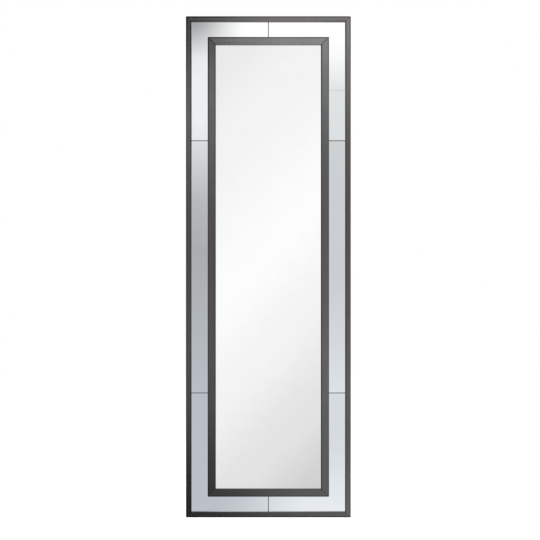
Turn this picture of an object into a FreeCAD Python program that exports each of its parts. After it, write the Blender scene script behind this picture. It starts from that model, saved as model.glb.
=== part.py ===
import FreeCAD, Part
import math
import os
import Sketcher

# Wall mirror: a tall mirror in an inner moulding, a border of six mirror panels round it, and an outer
# moulding. The front faces -Y, +Z is up, and the origin is the mirror's centre on the wall's plane.

# Driving dimensions, in millimetres and degrees
SIZES = {
    # The whole mirror
    "overall_width": 610,
    "overall_height": 1854,
    # Outer moulding
    "outer_face": 21,
    "outer_fall": 1.2,
    "frame_depth": 26,
    "lip_thickness": 10,
    "outer_arris": 2,
    "sight_arris": 1.5,
    "outer_mitre_arris": 0.3,
    # Inner moulding
    "border_side": 59.5,
    "border_end": 55.5,
    "inner_face": 30,
    "inner_fall": 1.6,
    "flange_thickness": 9,
    "inner_arris": 1.5,
    "inner_mitre_arris": 0.7,
    # Tips of both mouldings at the corners, sanded round
    "tip_radius": 3,
    # Glass
    "glass_thickness": 4,
    "glass_lap": 6,
    "glass_clearance": 1,
    "glass_arris": 1.1,
    "panel_gap": 0.8,
    "side_panel_height": 934,
    # Backing board and the points that hold it
    "board_thickness": 6,
    "point_thickness": 0.8,
    "point_width": 10,
    "point_length": 18,
    "point_seat": 8,
    "point_inset": 120,
    "rail_point_inset": 110,
    # Corner nails, folded to a V
    "nail_height": 10,
    "nail_wing": 4,
    "nail_thickness": 0.9,
    "inner_nail_height": 8,
    # Pan-headed screws: through the board into the inner moulding, and through the straps
    "screw_shank": 1.75,
    "screw_head": 3.2,
    "screw_head_height": 1.8,
    "frame_screw_length": 16,
    "frame_screw_inset": 60,
    "hanger_screw_length": 14,
    "pilot_clearance": 0.05,
    "pilot_extra": 1,
    "hole_clearance": 0.25,
    # Hangers
    "hanger_inset": 9,
    "hanger_drop": 420,
    "strap_width": 9.5,
    "strap_layer": 1,
    "strap_tail": 6,
    "strap_corner": 3,
    "fold_angle": 30,
    "first_hole": 20,
    "hole_spacing": 12.5,
    # D-rings
    "ring_wire": 1.3,
    "ring_running_clearance": 0.08,
    "ring_end_play": 0.4,
    "ring_corner": 2.4,
    "ring_side": 3,
    "ring_rest_gap": 0.4,
    # Wall bumpers
    "bumper_height": 6.5,
    "bumper_radius": 5.5,
    "bumper_top": 4.8,
    "bumper_bevel": 1,
    "bumper_from_end": 35,
    # Cutting allowance
    "overrun": 5,
}

# How many fixings each length has
STILE_POINTS = 5
RAIL_POINTS = 2
STILE_SCREWS = 4
RAIL_SCREWS = 2

# Where the corner nails stand across the land that they are driven into
NAIL_PLACE_SHARES = (0.2, 0.6)


class Size:
    """A length with its formula, so that what is made from it stays bound to the sheet."""

    def __init__(self, formula, value):
        self.formula = formula
        self.value = value

    def __add__(self, other):
        return Size("(%s + %s)" % (self.formula, other.formula), self.value + other.value)

    def __sub__(self, other):
        return Size("(%s - %s)" % (self.formula, other.formula), self.value - other.value)

    def __mul__(self, factor):
        return Size("(%s * %r)" % (self.formula, factor), self.value * factor)

    def __truediv__(self, factor):
        return Size("(%s / %r)" % (self.formula, factor), self.value / factor)

    def __neg__(self):
        return self * -1


class Sizes:
    """The sheet's cells by name."""


doc = FreeCAD.newDocument("WallMirror")
sheet = doc.addObject("Spreadsheet::Sheet", "Sizes")
given = Sizes()
for row, (word, number) in enumerate(SIZES.items(), start=1):
    sheet.set("A%d" % row, word)
    sheet.set("B%d" % row, str(number))
    sheet.setAlias("B%d" % row, word)
    setattr(given, word, Size("Sizes." + word, number))
doc.recompute()

ZERO = Size("0", 0)
SIDES = (("left", -1), ("right", 1))
subparts = []


# Places that several pieces share

half_width = given.overall_width / 2
half_height = given.overall_height / 2

# Depths, from the wall forwards
frame_rear = -given.bumper_height
recess = given.frame_depth - given.lip_thickness - given.glass_thickness - given.board_thickness
board_rear = frame_rear - recess
glass_rear = board_rear - given.board_thickness
rabbet_depth = given.frame_depth - given.lip_thickness
inner_depth = given.glass_thickness + given.flange_thickness

# Across the outer moulding
rabbet_width = given.glass_lap + given.glass_clearance
rear_land = given.outer_face - rabbet_width

# Across the inner moulding: its flange laps the glass on both sides of its stem
stem_start = given.glass_lap + given.glass_clearance
stem_end = given.inner_face - stem_start
stem_width = stem_end - stem_start
inner_half_width = half_width - given.outer_face - given.border_side
inner_half_height = half_height - given.outer_face - given.border_end

# Edges of the glass and of the board behind it
glass_half_width = half_width - rear_land - given.glass_clearance
glass_half_height = half_height - rear_land - given.glass_clearance
border_inner_x = inner_half_width - given.glass_lap
border_inner_z = inner_half_height - given.glass_lap
main_half_width = inner_half_width - given.inner_face + given.glass_lap
main_half_height = inner_half_height - given.inner_face + given.glass_lap


# Helpers for bodies, sketches and features

def new_body(name):
    body = doc.addObject("PartDesign::Body", name)
    body.Label = name
    subparts.append(body)
    return body


def place(body, x=ZERO, y=ZERO, z=ZERO, turn=0, lean=0):
    """Sets a body down at a point of the wall mirror, turned about Y and first leaned about X."""
    spin = FreeCAD.Rotation(FreeCAD.Vector(0, 1, 0), turn)
    tilt = FreeCAD.Rotation(FreeCAD.Vector(1, 0, 0), lean)
    body.Placement = FreeCAD.Placement(FreeCAD.Vector(x.value, y.value, z.value), spin.multiply(tilt))
    body.setExpression("Placement.Base.x", x.formula)
    body.setExpression("Placement.Base.y", y.formula)
    body.setExpression("Placement.Base.z", z.formula)


def new_sketch(body, name, role, offset=ZERO):
    sketch = body.newObject("Sketcher::SketchObject", name)
    planes = [plane for plane in body.Origin.OriginFeatures if plane.Role == role]
    sketch.AttachmentSupport = [(planes[0], "")]
    sketch.MapMode = "FlatFace"
    sketch.AttachmentOffset = FreeCAD.Placement(FreeCAD.Vector(0, 0, offset.value), FreeCAD.Rotation())
    sketch.setExpression("AttachmentOffset.Base.z", offset.formula)
    return sketch


def constrain(sketch, kind, *items):
    """Adds a constraint, bound to the sheet where its last item is a size."""
    if not isinstance(items[-1], Size):
        return sketch.addConstraint(Sketcher.Constraint(kind, *items))
    index = sketch.addConstraint(Sketcher.Constraint(kind, *items[:-1], items[-1].value))
    sketch.setExpression("Constraints[%d]" % index, items[-1].formula)
    return index


# Sketch codes: a curve's points are numbered from 1, and the sheet's own axes count down from -1
START, END, CENTRE = range(1, 4)
X_AXIS, Y_AXIS = range(-1, -3, -1)
ORIGIN = (X_AXIS, START)


def fix_point(sketch, item, end, x, y):
    """Ties a point of a sketch to the origin, by a size along each axis."""
    if x is ZERO:
        constrain(sketch, "PointOnObject", item, end, Y_AXIS)
    else:
        constrain(sketch, "DistanceX", *ORIGIN, item, end, x)
    if y is ZERO:
        constrain(sketch, "PointOnObject", item, end, X_AXIS)
    else:
        constrain(sketch, "DistanceY", *ORIGIN, item, end, y)


def vector(x, y):
    return FreeCAD.Vector(x.value, y.value, 0)


def add_outline(sketch, points):
    """Adds a closed outline of straight lines."""
    first = sketch.GeometryCount
    count = len(points)
    for index in range(count):
        start = vector(*points[index])
        end = vector(*points[(index + 1) % count])
        sketch.addGeometry(Part.LineSegment(start, end), False)
    for index in range(count):
        constrain(sketch, "Coincident", first + index, END, first + (index + 1) % count, START)
        fix_point(sketch, first + index, START, *points[index])


def add_rectangle(sketch, x0, y0, x1, y1):
    add_outline(sketch, [(x0, y0), (x1, y0), (x1, y1), (x0, y1)])


def add_circle(sketch, x, y, radius):
    circle = Part.Circle(vector(x, y), FreeCAD.Vector(0, 0, 1), radius.value)
    index = sketch.addGeometry(circle, False)
    constrain(sketch, "Radius", index, radius)
    fix_point(sketch, index, CENTRE, x, y)


def add_arc(sketch, x, y, radius, start_angle, end_angle):
    circle = Part.Circle(vector(x, y), FreeCAD.Vector(0, 0, 1), radius.value)
    arc = Part.ArcOfCircle(circle, math.radians(start_angle), math.radians(end_angle))
    return sketch.addGeometry(arc, False)


def add_line(sketch, x0, y0, x1, y1):
    return sketch.addGeometry(Part.LineSegment(vector(x0, y0), vector(x1, y1)), False)


def pad(body, name, sketch, length, **settings):
    feature = body.newObject("PartDesign::Pad", name)
    feature.Profile = sketch
    feature.setExpression("Length", length.formula)
    for setting, value in settings.items():
        setattr(feature, setting, value)
    doc.recompute()
    return feature


def pocket(body, name, sketch, depth=None, **settings):
    """Cuts a pocket, through everything where no depth is given, and checks that it cut."""
    before = body.Shape.Volume
    feature = body.newObject("PartDesign::Pocket", name)
    feature.Profile = sketch
    if depth is None:
        feature.Type = "ThroughAll"
        feature.SideType = "Symmetric"
    else:
        feature.setExpression("Length", depth.formula)
    for setting, value in settings.items():
        setattr(feature, setting, value)
    doc.recompute()
    check_cut(body, feature, before)
    return feature


def check_cut(body, feature, before):
    if not body.Shape.Volume < before:
        raise RuntimeError("%s of %s cut nothing" % (feature.Label, body.Label))


def edges_along(feature, direction, *points):
    """Names the straight edges that run along a direction and pass over given points of the section."""
    names = []
    for index, edge in enumerate(feature.Shape.Edges, start=1):
        start, end = edge.Vertexes[0].Point, edge.Vertexes[-1].Point
        run = end - start
        if run.cross(direction).Length > Part.Precision.confusion() * 10:
            continue
        for point in points:
            if (start - point).cross(direction).Length < Part.Precision.confusion() * 10:
                names.append("Edge%d" % index)
    return names


def round_edges(body, name, feature, edges, radius, kind="PartDesign::Fillet"):
    rounded = body.newObject(kind, name)
    rounded.Base = (feature, edges)
    rounded.setExpression("Size" if kind.endswith("Chamfer") else "Radius", radius.formula)
    doc.recompute()
    return rounded


def faces_towards(feature, direction):
    """Names the flat faces that look along a direction."""
    names = []
    for index, face in enumerate(feature.Shape.Faces, start=1):
        if face.Surface.TypeId == "Part::GeomPlane" and face.normalAt(0, 0).dot(direction) > 0.999:
            names.append("Face%d" % index)
    return names


FORWARDS = FreeCAD.Vector(0, -1, 0)
UPWARDS = FreeCAD.Vector(0, 0, 1)


def spread(count):
    """Even places from -1 to 1."""
    return [2 * index / (count - 1) - 1 for index in range(count)]


# Details that several pieces share

def cut_mitres(body, length, face, edge_depth, fall, arris):
    """Cuts both ends of a length of moulding at 45 degrees, its sight edge being the short one.

    The tips are sanded round, and the front edges of the cuts are eased, so that a joint shows as a groove.
    The face falls from the sight edge to the outer edge, whose depth is given.
    """
    mitres = new_sketch(body, "mitres", "XZ_Plane")
    tips = new_sketch(body, "tips", "XZ_Plane")
    far = face + given.overrun
    for side in (1, -1):
        corner = length / 2 * side
        beyond = corner + given.overrun * side
        add_outline(mitres, [(-given.overrun, beyond), (far, corner - far * side), (far, beyond)])
        add_tip(tips, corner, beyond, side)
    pocket(body, "mitre_cuts", mitres)
    cut = pocket(body, "sanded_tips", tips)
    edges = []
    for side in (1, -1):
        corner = FreeCAD.Vector(0, -edge_depth.value, length.value / 2 * side)
        run = FreeCAD.Vector(face.value, -fall.value, -face.value * side)
        edges += edges_along(cut, run.normalize(), corner)
    return round_edges(body, "eased_mitres", cut, edges, arris, "PartDesign::Chamfer")


def add_tip(sketch, corner, beyond, side):
    """Draws what is sanded off a tip: the space outside a quarter circle in the frame's corner."""
    radius = given.tip_radius
    inner = corner - radius * side
    outside = -given.overrun
    outline = [(ZERO, inner), (outside, inner), (outside, beyond), (radius, beyond), (radius, corner)]
    lines = []
    for (x0, y0), (x1, y1) in zip(outline, outline[1:]):
        lines.append(add_line(sketch, x0, y0, x1, y1))
        fix_point(sketch, lines[-1], START, x0, y0)
    for line, following in zip(lines, lines[1:]):
        constrain(sketch, "Coincident", line, END, following, START)
    fix_point(sketch, lines[-1], END, radius, corner)
    if side > 0:
        arc = add_arc(sketch, radius, inner, radius, 90, 180)
        ends = (END, START)
    else:
        arc = add_arc(sketch, radius, inner, radius, 180, 270)
        ends = (START, END)
    constrain(sketch, "Coincident", arc, ends[0], lines[0], START)
    constrain(sketch, "Coincident", arc, ends[1], lines[-1], END)
    constrain(sketch, "Radius", arc, radius)


def add_corner_nails(sketch, corner_x, corner_z, side_x, side_z, land_start, land_width):
    """Draws the folded nails of one corner, side_x and side_z pointing from the corner inwards."""
    for share in NAIL_PLACE_SHARES:
        near = land_start + land_width * share
        back = near + given.nail_thickness
        far = near + given.nail_wing
        folded = [(near, near), (far, near), (far, back), (back, back), (back, far), (near, far)]
        add_outline(sketch, [(corner_x + x * side_x, corner_z + z * side_z) for x, z in folded])


def cut_nail_slots(body, length, land_start, land_width, depth):
    slots = new_sketch(body, "nails", "XZ_Plane")
    for side in (1, -1):
        add_corner_nails(slots, ZERO, length / 2 * side, 1, -side, land_start, land_width)
    pocket(body, "nail_slots", slots, depth, Reversed=True)


def corner_nails(name, half_x, half_z, land_start, land_width, height, rear):
    """The folded nails of all four corners of a moulding."""
    body = new_body(name)
    outline = new_sketch(body, "folded_strips", "XZ_Plane")
    for side_x in (1, -1):
        for side_z in (1, -1):
            corner = (half_x * side_x, half_z * side_z)
            add_corner_nails(outline, *corner, -side_x, -side_z, land_start, land_width)
    pad(body, "nail_height", outline, height)
    place(body, y=rear)


def pilot_holes(body, places, depth):
    pilots = new_sketch(body, "pilot_places", "XZ_Plane")
    for x, z in places:
        add_circle(pilots, x, z, given.screw_shank + given.pilot_clearance)
    pocket(body, "pilot_holes", pilots, depth, Reversed=True)


def screws(name, places, length, y):
    """Like screws that point forwards, their heads seated at a depth."""
    body = new_body(name)
    for part_name, radius in (("shanks", given.screw_shank), ("heads", given.screw_head)):
        circles = new_sketch(body, part_name + "_section", "XZ_Plane")
        for x, z in places:
            add_circle(circles, x, z, radius)
        if part_name == "shanks":
            pad(body, part_name, circles, length)
        else:
            pad(body, part_name, circles, given.screw_head_height, Reversed=True)
    place(body, y=y)


# Outer moulding

def outer_length(name, x, z, turn, length, points, point_inset):
    """One length of the outer moulding, drawn with its outer edge on the Z axis."""
    body = new_body(name)
    section = new_sketch(body, "section", "XY_Plane")
    edge_depth = given.frame_depth - given.outer_fall
    add_outline(section, [
        (ZERO, ZERO),
        (rear_land, ZERO),
        (rear_land, -rabbet_depth),
        (given.outer_face, -rabbet_depth),
        (given.outer_face, -given.frame_depth),
        (ZERO, -edge_depth),
    ])
    pad(body, "moulding", section, length, SideType="Symmetric")
    stock = cut_mitres(body, length, given.outer_face, edge_depth, given.outer_fall, given.outer_mitre_arris)
    outer_edge = edges_along(stock, UPWARDS, vector(ZERO, -edge_depth))
    stock = round_edges(body, "outer_rounding", stock, outer_edge, given.outer_arris)
    sight_edge = edges_along(stock, UPWARDS, vector(given.outer_face, -given.frame_depth))
    round_edges(body, "sight_rounding", stock, sight_edge, given.sight_arris)
    cut_nail_slots(body, length, ZERO, rear_land, given.nail_height)

    slots = new_sketch(body, "point_places", "XZ_Plane", recess)
    for share in spread(points):
        centre = (length / 2 - point_inset) * share
        half = given.point_width / 2
        add_rectangle(slots, rear_land - given.point_seat, centre - half,
                      rear_land + given.overrun, centre + half)
    pocket(body, "point_slots", slots, given.point_thickness)

    place(body, x, frame_rear, z, turn)
    return body


stile = (given.overall_height, STILE_POINTS, given.point_inset)
rail = (given.overall_width, RAIL_POINTS, given.rail_point_inset)
stiles = [
    outer_length("outer_stile_left", -half_width, ZERO, 0, *stile),
    outer_length("outer_stile_right", half_width, ZERO, 180, *stile),
]
outer_length("outer_rail_top", ZERO, half_height, 90, *rail)
outer_length("outer_rail_bottom", ZERO, -half_height, 270, *rail)
corner_nails("outer_corner_nails", half_width, half_height, ZERO, rear_land, given.nail_height, frame_rear)


# Inner moulding: a T in section, its stem standing on the board between the rings of glass

def inner_length(name, x, z, turn, length, screw_count):
    """One length of the inner moulding, drawn with its outer edge on the Z axis."""
    body = new_body(name)
    section = new_sketch(body, "section", "XY_Plane")
    edge_depth = inner_depth - given.inner_fall
    add_outline(section, [
        (stem_start, ZERO),
        (stem_end, ZERO),
        (stem_end, -given.glass_thickness),
        (given.inner_face, -given.glass_thickness),
        (given.inner_face, -inner_depth),
        (ZERO, -edge_depth),
        (ZERO, -given.glass_thickness),
        (stem_start, -given.glass_thickness),
    ])
    pad(body, "moulding", section, length, SideType="Symmetric")
    stock = cut_mitres(body, length, given.inner_face, edge_depth, given.inner_fall, given.inner_mitre_arris)
    front_corners = [vector(ZERO, -edge_depth), vector(given.inner_face, -inner_depth)]
    front_edges = edges_along(stock, UPWARDS, *front_corners)
    round_edges(body, "front_rounding", stock, front_edges, given.inner_arris)
    cut_nail_slots(body, length, stem_start, stem_width, given.inner_nail_height)

    end = length / 2 - given.frame_screw_inset
    places = [(given.inner_face / 2, end * share) for share in spread(screw_count)]
    pilot_holes(body, places, given.frame_screw_length - given.board_thickness + given.pilot_extra)
    place(body, x, glass_rear, z, turn)


inner_height = inner_half_height * 2
inner_width = inner_half_width * 2
inner_length("inner_stile_left", -inner_half_width, ZERO, 0, inner_height, STILE_SCREWS)
inner_length("inner_stile_right", inner_half_width, ZERO, 180, inner_height, STILE_SCREWS)
inner_length("inner_rail_top", ZERO, inner_half_height, 90, inner_width, RAIL_SCREWS)
inner_length("inner_rail_bottom", ZERO, -inner_half_height, 270, inner_width, RAIL_SCREWS)
corner_nails("inner_corner_nails", inner_half_width, inner_half_height, stem_start, stem_width,
             given.inner_nail_height, glass_rear)


# Glass

def mirror_panel(name, points):
    """A panel of mirror glass, the front edges of which are ground to a small arris."""
    body = new_body(name)
    outline = new_sketch(body, "outline", "XZ_Plane")
    add_outline(outline, points)
    glass = pad(body, "glass", outline, given.glass_thickness)
    front = faces_towards(glass, FORWARDS)
    round_edges(body, "ground_edges", glass, front, given.glass_arris, "PartDesign::Chamfer")
    place(body, y=glass_rear)


def rectangle(x0, z0, x1, z1):
    return [(x0, z0), (x1, z0), (x1, z1), (x0, z1)]


mirror_panel("main_mirror", rectangle(
    -main_half_width, -main_half_height, main_half_width, main_half_height))

half_gap = given.panel_gap / 2
seam_height = given.side_panel_height / 2
for side_name, side_x in SIDES:
    outer_x = glass_half_width * side_x
    inner_x = border_inner_x * side_x
    mirror_panel("border_mirror_" + side_name, rectangle(
        outer_x, -seam_height + half_gap, inner_x, seam_height - half_gap))
    for end_name, side_z in (("top", 1), ("bottom", -1)):
        outer_z = glass_half_height * side_z
        inner_z = border_inner_z * side_z
        seam_x = half_gap * side_x
        seam_z = (seam_height + half_gap) * side_z
        mirror_panel("border_mirror_%s_%s" % (end_name, side_name), [
            (outer_x, seam_z), (outer_x, outer_z), (seam_x, outer_z),
            (seam_x, inner_z), (inner_x, inner_z), (inner_x, seam_z),
        ])


# Backing board, its screws and the points that hold it in the rabbet

def frame_screw_places():
    """The middles of the inner moulding's screws, in X and Z."""
    middle_x = inner_half_width - given.inner_face / 2
    middle_z = inner_half_height - given.inner_face / 2
    places = []
    for side in (1, -1):
        for share in spread(STILE_SCREWS):
            places.append((middle_x * side, (inner_half_height - given.frame_screw_inset) * share))
        for share in spread(RAIL_SCREWS):
            places.append(((inner_half_width - given.frame_screw_inset) * share, middle_z * side))
    return places


def backing_board():
    body = new_body("backing_board")
    outline = new_sketch(body, "outline", "XZ_Plane")
    add_rectangle(outline, -glass_half_width, -glass_half_height, glass_half_width, glass_half_height)
    pad(body, "board", outline, given.board_thickness)
    holes = new_sketch(body, "screw_places", "XZ_Plane")
    for x, z in frame_screw_places():
        add_circle(holes, x, z, given.screw_shank + given.hole_clearance)
    pocket(body, "screw_holes", holes)
    place(body, y=board_rear)


def retainer_points():
    """Flat steel points, driven into the rabbet's wall and lying on the board."""
    body = new_body("retainer_points")
    strips = new_sketch(body, "strips", "XZ_Plane")
    half = given.point_width / 2
    start = rear_land - given.point_seat
    end = start + given.point_length
    for side in (1, -1):
        for share in spread(STILE_POINTS):
            z = (half_height - given.point_inset) * share
            add_rectangle(strips, (half_width - start) * side, z - half, (half_width - end) * side, z + half)
        for share in spread(RAIL_POINTS):
            x = (half_width - given.rail_point_inset) * share
            add_rectangle(strips, x - half, (half_height - start) * side, x + half, (half_height - end) * side)
    pad(body, "thickness", strips, given.point_thickness, Reversed=True)
    place(body, y=board_rear)


backing_board()
screws("inner_frame_screws", frame_screw_places(), given.frame_screw_length, board_rear)
retainer_points()


# Hangers: a folded strap whose rolled eye carries a D-ring

eye_radius = given.ring_wire + given.ring_running_clearance
pivot_height = eye_radius + given.strap_layer
strap_top = given.strap_layer * 2
hole_distances = (given.first_hole, given.first_hole + given.hole_spacing)
strap_length = hole_distances[-1] + given.strap_tail
bar_half = given.strap_width / 2 + given.ring_end_play
ring_radius = bar_half + given.ring_corner
hanger_x = half_width - given.hanger_inset
hanger_z = half_height - given.hanger_drop


def hanger_strap(name, x):
    """A strip folded round the ring's bar, drawn with the bar along X and its tail hanging down."""
    body = new_body(name)
    fold = new_sketch(body, "fold", "YZ_Plane")
    slope = math.radians(SIZES["fold_angle"])
    rise_x = pivot_height * (1 + math.cos(slope))
    rise_y = -pivot_height * math.sin(slope)
    eye_x = pivot_height + eye_radius * math.cos(slope)
    eye_y = -eye_radius * math.sin(slope)
    apex_y = -eye_radius / math.tan(slope / 2)
    land = add_line(fold, ZERO, -strap_length, ZERO, ZERO)
    roll = add_arc(fold, pivot_height, ZERO, pivot_height, -SIZES["fold_angle"], 180)
    ramp = add_line(fold, rise_x, rise_y, strap_top, apex_y)
    upper = add_line(fold, strap_top, apex_y, strap_top, -strap_length)
    tail = add_line(fold, strap_top, -strap_length, ZERO, -strap_length)
    constrain(fold, "Coincident", land, END, *ORIGIN)
    constrain(fold, "PointOnObject", land, START, Y_AXIS)
    constrain(fold, "DistanceY", *ORIGIN, land, START, -strap_length)
    constrain(fold, "Tangent", land, END, roll, END)
    constrain(fold, "DistanceX", *ORIGIN, roll, CENTRE, pivot_height)
    constrain(fold, "Tangent", roll, START, ramp, START)
    constrain(fold, "Coincident", ramp, END, upper, START)
    constrain(fold, "Vertical", upper)
    constrain(fold, "DistanceX", *ORIGIN, upper, START, strap_top)
    constrain(fold, "Coincident", upper, END, tail, START)
    constrain(fold, "Coincident", tail, END, land, START)
    constrain(fold, "Horizontal", tail)
    lower = add_line(fold, given.strap_layer, apex_y, given.strap_layer, ZERO)
    bore = add_arc(fold, pivot_height, ZERO, eye_radius, -SIZES["fold_angle"], 180)
    under = add_line(fold, eye_x, eye_y, given.strap_layer, apex_y)
    constrain(fold, "Coincident", bore, CENTRE, roll, CENTRE)
    constrain(fold, "Tangent", lower, END, bore, END)
    constrain(fold, "Tangent", bore, START, under, START)
    constrain(fold, "Coincident", under, END, lower, START)
    constrain(fold, "Vertical", lower)
    constrain(fold, "Parallel", under, ramp)
    constrain(fold, "Radius", bore, eye_radius)
    angle = constrain(fold, "Angle", ramp, math.radians(-90 - SIZES["fold_angle"]))
    fold.setExpression("Constraints[%d]" % angle, "(-90 - Sizes.fold_angle) * 1 deg")
    strip = pad(body, "strip", fold, given.strap_width, SideType="Symmetric")
    across = FreeCAD.Vector(0, 1, 0)
    half = given.strap_width.value / 2
    ends = [FreeCAD.Vector(side * half, 0, -strap_length.value) for side in (1, -1)]
    round_edges(body, "rounded_end", strip, edges_along(strip, across, *ends), given.strap_corner)

    holes = new_sketch(body, "hole_places", "XZ_Plane")
    for distance in hole_distances:
        add_circle(holes, ZERO, -distance, given.screw_shank + given.hole_clearance)
    pocket(body, "screw_holes", holes)
    place(body, x, frame_rear, hanger_z)


def ring_lean():
    """The angle at which a ring rests over its strap, clear of the strap's edges."""
    half = given.strap_width.value / 2
    reach = given.ring_corner.value + given.ring_side.value + math.sqrt(ring_radius.value ** 2 - half ** 2)
    rise = strap_top.value + given.ring_rest_gap.value + given.ring_wire.value - pivot_height.value
    return math.degrees(math.asin(rise / reach))


def bend(body, name, section, middle, angle, reverse):
    """Turns a wire's section about an upright line of its sketch, at a distance from the middle."""
    axis = add_line(section, middle, ZERO, middle, given.ring_wire)
    section.toggleConstruction(axis)
    fix_point(section, axis, START, middle, ZERO)
    fix_point(section, axis, END, middle, given.ring_wire)
    turned = body.newObject("PartDesign::Revolution", name)
    turned.Profile = section
    turned.ReferenceAxis = (section, ["Axis0"])
    turned.Angle = angle
    turned.Reversed = reverse
    doc.recompute()


def hanger_ring(name, x):
    """A ring of round wire bent to a D, its straight bar along X in the eye and its bow hanging down."""
    body = new_body(name)
    bar = new_sketch(body, "bar_section", "YZ_Plane")
    add_circle(bar, ZERO, ZERO, given.ring_wire)
    pad(body, "bar", bar, bar_half * 2, SideType="Symmetric")
    side_top = -given.ring_corner
    for side_name, side in (("right", 1), ("left", -1)):
        corner = new_sketch(body, side_name + "_corner_section", "XY_Plane", side_top)
        add_circle(corner, ring_radius * side, ZERO, given.ring_wire)
        bend(body, side_name + "_corner", corner, bar_half * side, 90, side > 0)
    sides = new_sketch(body, "side_sections", "XY_Plane", side_top)
    for side in (1, -1):
        add_circle(sides, ring_radius * side, ZERO, given.ring_wire)
    pad(body, "sides", sides, given.ring_side, Reversed=True)
    bow = new_sketch(body, "bow_section", "XY_Plane", side_top - given.ring_side)
    add_circle(bow, ring_radius, ZERO, given.ring_wire)
    bend(body, "bow", bow, ZERO, 180, False)
    place(body, x, frame_rear + pivot_height, hanger_z, lean=ring_lean())


screw_places = []
pilot_depth = given.hanger_screw_length - strap_top + given.pilot_extra
for (side_name, side), outer_stile in zip(SIDES, stiles):
    hanger_strap("hanger_strap_" + side_name, hanger_x * side)
    hanger_ring("hanger_ring_" + side_name, hanger_x * side)
    screw_places += [(hanger_x * side, hanger_z - distance) for distance in hole_distances]
    pilots = [(given.hanger_inset, (distance - hanger_z) * side) for distance in hole_distances]
    pilot_holes(outer_stile, pilots, pilot_depth)
screws("hanger_screws", screw_places, given.hanger_screw_length, frame_rear + strap_top)


# Rubber bumpers, which hold the frame off the wall

def wall_bumper(name, x, z):
    """A stub of rubber, tapered towards the wall and bevelled there."""
    body = new_body(name)
    profile = new_sketch(body, "profile", "XY_Plane")
    add_outline(profile, [
        (ZERO, ZERO), (given.bumper_radius, ZERO), (given.bumper_top, given.bumper_height),
        (ZERO, given.bumper_height),
    ])
    stub = body.newObject("PartDesign::Revolution", "stub")
    stub.Profile = profile
    stub.ReferenceAxis = (profile, ["V_Axis"])
    stub.Angle = 360
    doc.recompute()
    wall_face = faces_towards(stub, -FORWARDS)
    round_edges(body, "bevel", stub, wall_face, given.bumper_bevel, "PartDesign::Chamfer")
    place(body, x, frame_rear, z)


bumper_x = half_width - rear_land / 2
bumper_z = half_height - given.bumper_from_end
for end_name, side_z in (("top", 1), ("bottom", -1)):
    for side_name, side_x in SIDES:
        wall_bumper("wall_bumper_%s_%s" % (end_name, side_name), bumper_x * side_x, bumper_z * side_z)


# Check every object, then write each sub-part to its own file

doc.recompute()
for item in doc.Objects:
    if "Invalid" in item.State or "Error" in item.State:
        raise RuntimeError("%s failed: %s" % (item.Label, item.State))
for body in subparts:
    if body.Shape.isNull() or not body.Shape.isValid():
        raise RuntimeError("%s has no valid shape" % body.Label)
os.makedirs("parts", exist_ok=True)
for body in subparts:
    body.Shape.exportStep("parts/%s.step" % body.Label)
    print("%-28s %2d solids %12.1f mm3" % (body.Label, len(body.Shape.Solids), body.Shape.Volume))
print("ring hinges at x +-%.3f, y %.3f, z %.3f" % (
    hanger_x.value, (frame_rear + pivot_height).value, hanger_z.value))
print("rings lean %.2f degrees" % ring_lean())
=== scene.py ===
import math

import bmesh
import bpy
from mathutils import Matrix, Vector


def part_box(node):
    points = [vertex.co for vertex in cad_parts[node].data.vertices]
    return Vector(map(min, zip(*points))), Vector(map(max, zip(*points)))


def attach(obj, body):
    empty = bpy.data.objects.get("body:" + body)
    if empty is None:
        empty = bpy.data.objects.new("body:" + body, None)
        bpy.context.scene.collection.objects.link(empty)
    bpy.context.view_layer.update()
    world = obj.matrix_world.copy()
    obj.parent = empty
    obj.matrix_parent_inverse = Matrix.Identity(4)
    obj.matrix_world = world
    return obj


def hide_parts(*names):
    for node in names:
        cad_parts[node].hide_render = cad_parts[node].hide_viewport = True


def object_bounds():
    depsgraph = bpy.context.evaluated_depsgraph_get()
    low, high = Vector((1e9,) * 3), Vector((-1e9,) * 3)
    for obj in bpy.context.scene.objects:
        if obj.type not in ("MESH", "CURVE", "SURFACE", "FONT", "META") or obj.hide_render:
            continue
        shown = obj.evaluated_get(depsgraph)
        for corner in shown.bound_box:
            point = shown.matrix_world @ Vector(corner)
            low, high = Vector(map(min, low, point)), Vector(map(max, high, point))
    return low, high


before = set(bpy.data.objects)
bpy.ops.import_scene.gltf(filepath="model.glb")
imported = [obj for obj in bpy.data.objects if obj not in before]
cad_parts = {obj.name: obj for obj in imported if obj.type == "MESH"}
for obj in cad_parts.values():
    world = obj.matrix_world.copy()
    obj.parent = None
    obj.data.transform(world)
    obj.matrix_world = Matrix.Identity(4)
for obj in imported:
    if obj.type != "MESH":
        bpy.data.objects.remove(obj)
cad_low, cad_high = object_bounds()

MM = 0.001
UP = Vector((0, 0, 1))
FORWARDS = Vector((0, -1, 0))
WHITE = (1.0, 1.0, 1.0)

# The photograph's frame, in pixels: its side, and the mirror's outline in it
IMAGE_SIDE = 540
OUTLINE_WIDTH = 165.0
OUTLINE_MIDDLE = (268.35, 266.85)

# The camera stands square to the mirror, this far from its front
CAMERA_DISTANCE = 5.5
SENSOR_WIDTH = 36.0

# Places worked out from the frame
half_width = cad_high.x
half_height = cad_high.z
pixel = 2 * half_width / OUTLINE_WIDTH
camera_x = (IMAGE_SIDE / 2 - OUTLINE_MIDDLE[0]) * pixel
camera_y = cad_low.y - CAMERA_DISTANCE
camera_z = (OUTLINE_MIDDLE[1] - IMAGE_SIDE / 2) * pixel


# Short calls for building node trees

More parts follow.
